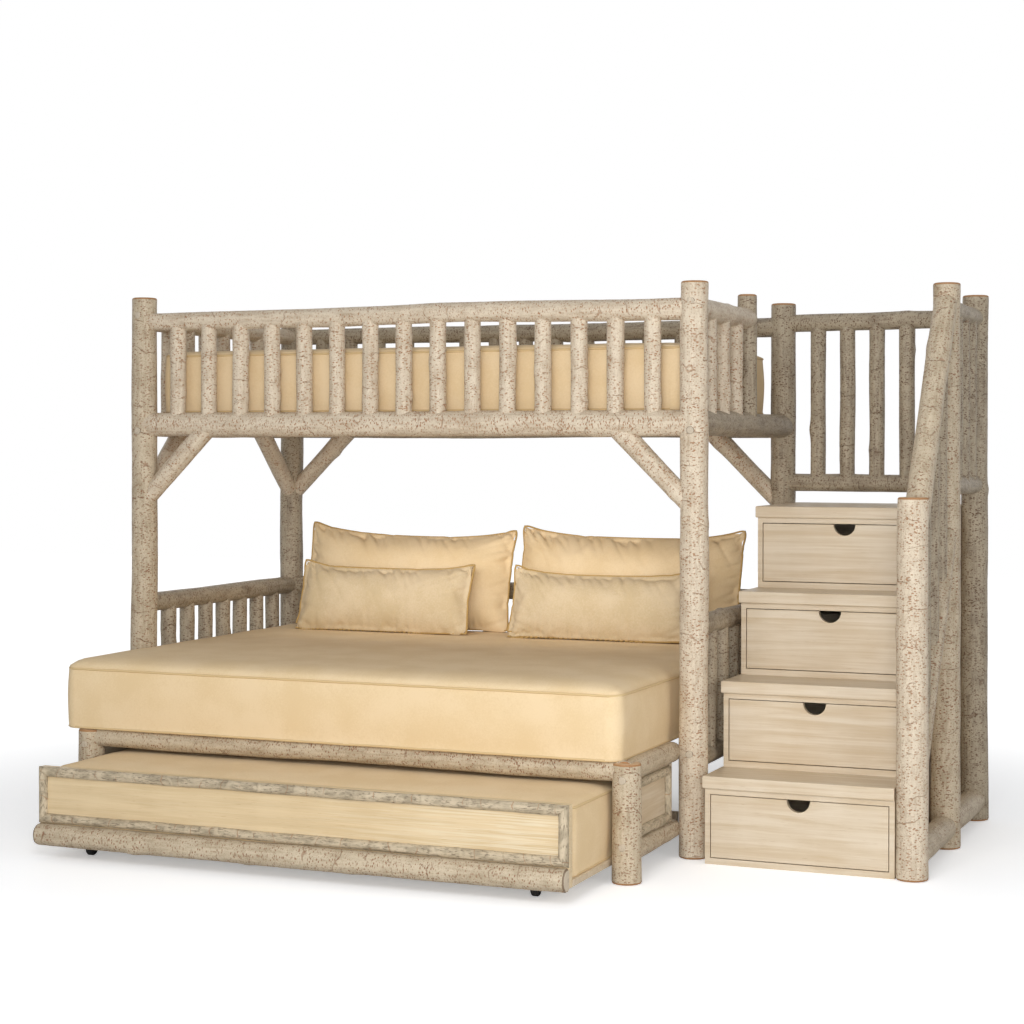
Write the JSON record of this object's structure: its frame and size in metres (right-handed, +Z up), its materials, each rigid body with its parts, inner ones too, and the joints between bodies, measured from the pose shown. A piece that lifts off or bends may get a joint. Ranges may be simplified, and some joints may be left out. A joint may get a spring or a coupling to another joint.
{
  "type": "bunk_bed",
  "caption": "Rustic log bunk bed over a wider day bed, with a pull-out trundle on casters and box steps with drawers, log handrail and guarded landing",
  "frame": {"origin": "floor level at the middle of the outline in plan, with the trundle pulled out as shown", "axes": "+X along the bed towards the steps, +Y to the rear, +Z up"},
  "size_m": [2.7812, 1.9363, 1.797],
  "materials": {
    "bark": "satin",
    "bark_shaded": "satin",
    "birch": "satin",
    "cloth": "matte",
    "pillow_cloth": "matte",
    "plug_wood": "satin",
    "caster_steel": "satin",
    "caster_rubber": "satin"
  },
  "bodies": {
    "bed_frame": {"post_front_left": "bark", "post_front_right": "bark", "post_rear_left": "bark_shaded", "post_rear_right": "bark_shaded", "guard_post": "bark", "bunk_rail_front": "bark", "bunk_rail_rear": "bark_shaded", "bunk_rail_left": "bark", "bunk_rail_right": "bark_shaded", "guard_rail_front": "bark", "guard_rail_rear": "bark_shaded", "guard_rail_left": "bark", "guard_rail_right": "bark", "balusters_front": "bark", "balusters_rear": "bark_shaded", "balusters_ends": "bark", "braces": "bark_shaded", "bunk_slats": "birch", "bed_slats": "birch", "slat_ledgers": "birch", "upper_mattress": "cloth", "leg_left": "bark", "leg_right": "bark", "bed_rail_front": "bark", "bed_side_rails": "bark", "bed_side_panels": "birch", "bed_side_mouldings": "bark_shaded", "low_rail_left": "bark_shaded", "low_rail_right": "bark_shaded", "low_rail_rear": "bark_shaded", "sill_rails": "bark_shaded", "low_balusters": "bark_shaded", "lower_mattress": "cloth", "pillow_large_left": "cloth", "pillow_large_right": "cloth", "pillow_small_left": "pillow_cloth", "pillow_small_right": "pillow_cloth", "stair_carcass": "birch", "stair_treads": "birch", "newel_post": "bark", "tall_post": "bark", "rear_stair_post": "bark_shaded", "stair_rails": "bark", "landing_rails": "bark_shaded", "stair_baluster_set": "bark", "wood_plugs": "plug_wood"},
    "trundle": {"trundle_tray": "birch", "trundle_front": "birch", "trundle_moulding": "bark", "trundle_log": "bark", "trundle_mattress": "cloth", "caster_forks": "caster_steel"},
    "caster_front_left": {"wheel_front_left": "caster_rubber"},
    "caster_front_right": {"wheel_front_right": "caster_rubber"},
    "caster_rear_left": {"wheel_rear_left": "caster_rubber"},
    "caster_rear_right": {"wheel_rear_right": "caster_rubber"},
    "drawer_1_box": {"drawer_1": "birch"},
    "drawer_2_box": {"drawer_2": "birch"},
    "drawer_3_box": {"drawer_3": "birch"},
    "drawer_4_box": {"drawer_4": "birch"}
  },
  "joints": [
    {"name": "trundle_slide", "type": "slide", "parent": "bed_frame", "child": "trundle", "axis": [0, -1, 0], "range_m": [-0.335, 0.65]},
    {"name": "wheel_front_left_spin", "type": "hinge", "parent": "trundle", "child": "caster_front_left", "pos_m": [-1.0851, -0.84175, 0.022], "axis": [1, 0, 0], "continuous": true},
    {"name": "wheel_front_right_spin", "type": "hinge", "parent": "trundle", "child": "caster_front_right", "pos_m": [0.4039, -0.84175, 0.022], "axis": [1, 0, 0], "continuous": true},
    {"name": "wheel_rear_left_spin", "type": "hinge", "parent": "trundle", "child": "caster_rear_left", "pos_m": [-1.0851, -0.02375, 0.022], "axis": [1, 0, 0], "continuous": true},
    {"name": "wheel_rear_right_spin", "type": "hinge", "parent": "trundle", "child": "caster_rear_right", "pos_m": [0.4039, -0.02375, 0.022], "axis": [1, 0, 0], "continuous": true},
    {"name": "drawer_1_slide", "type": "slide", "parent": "bed_frame", "child": "drawer_1_box", "axis": [0, -1, 0], "range_m": [0, 0.34]},
    {"name": "drawer_2_slide", "type": "slide", "parent": "bed_frame", "child": "drawer_2_box", "axis": [0, -1, 0], "range_m": [0, 0.34]},
    {"name": "drawer_3_slide", "type": "slide", "parent": "bed_frame", "child": "drawer_3_box", "axis": [0, -1, 0], "range_m": [0, 0.34]},
    {"name": "drawer_4_slide", "type": "slide", "parent": "bed_frame", "child": "drawer_4_box", "axis": [0, -1, 0], "range_m": [0, 0.34]}
  ],
  "couplings": [
    {"joint": "wheel_front_left_spin", "follows": "trundle_slide", "rad_per_m": 45.455},
    {"joint": "wheel_front_right_spin", "follows": "trundle_slide", "rad_per_m": 45.455},
    {"joint": "wheel_rear_left_spin", "follows": "trundle_slide", "rad_per_m": 45.455},
    {"joint": "wheel_rear_right_spin", "follows": "trundle_slide", "rad_per_m": 45.455}
  ]
}
